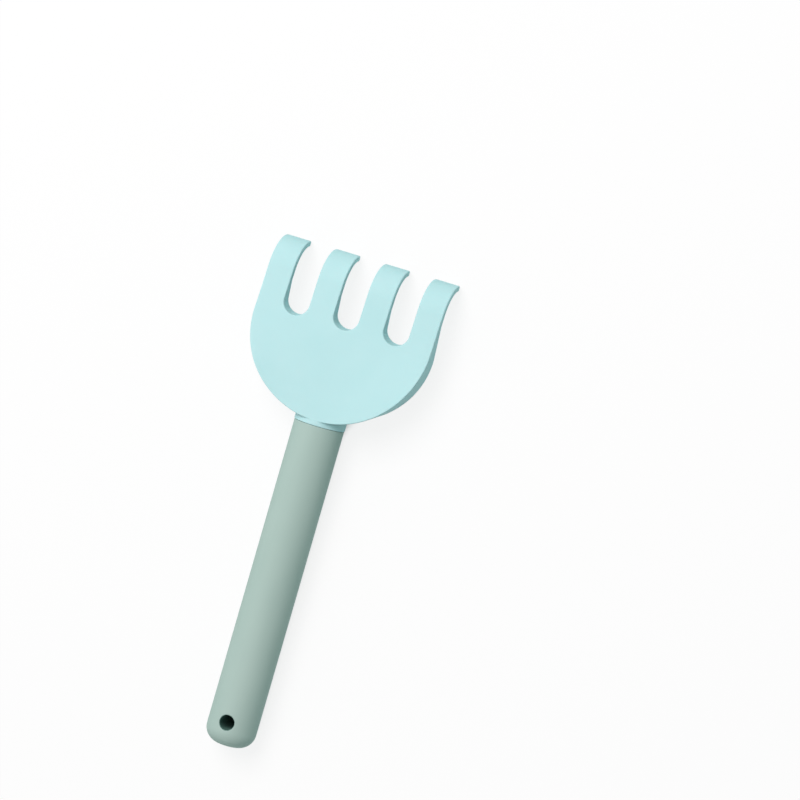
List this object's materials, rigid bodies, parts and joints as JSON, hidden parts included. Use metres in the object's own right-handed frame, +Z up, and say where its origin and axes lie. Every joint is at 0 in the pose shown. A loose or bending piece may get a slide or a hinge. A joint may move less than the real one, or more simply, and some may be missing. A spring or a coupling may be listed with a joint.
{
  "type": "sand rake",
  "caption": "Hand rake for sand play: curled tines on a rounded wedge plate, a soft head moulded over a stiff core, and a round handle with a hang hole.",
  "frame": {"origin": "middle of the box around the rake, on the floor it lies on", "axes": "+X across the head to the right, +Y along the rake from the handle's end towards the tines, +Z up, away from the floor and out of the head's face"},
  "size_m": [0.08, 0.2176, 0.0226],
  "materials": {
    "soft_head": "matte pale aqua silicone",
    "core": "plain off-white moulding, hidden",
    "handle": "matte sage green, slightly soft to the touch"
  },
  "bodies": {
    "root": {"rake_head": "soft_head", "head_core": "core", "handle": "handle"}
  },
  "joints": []
}
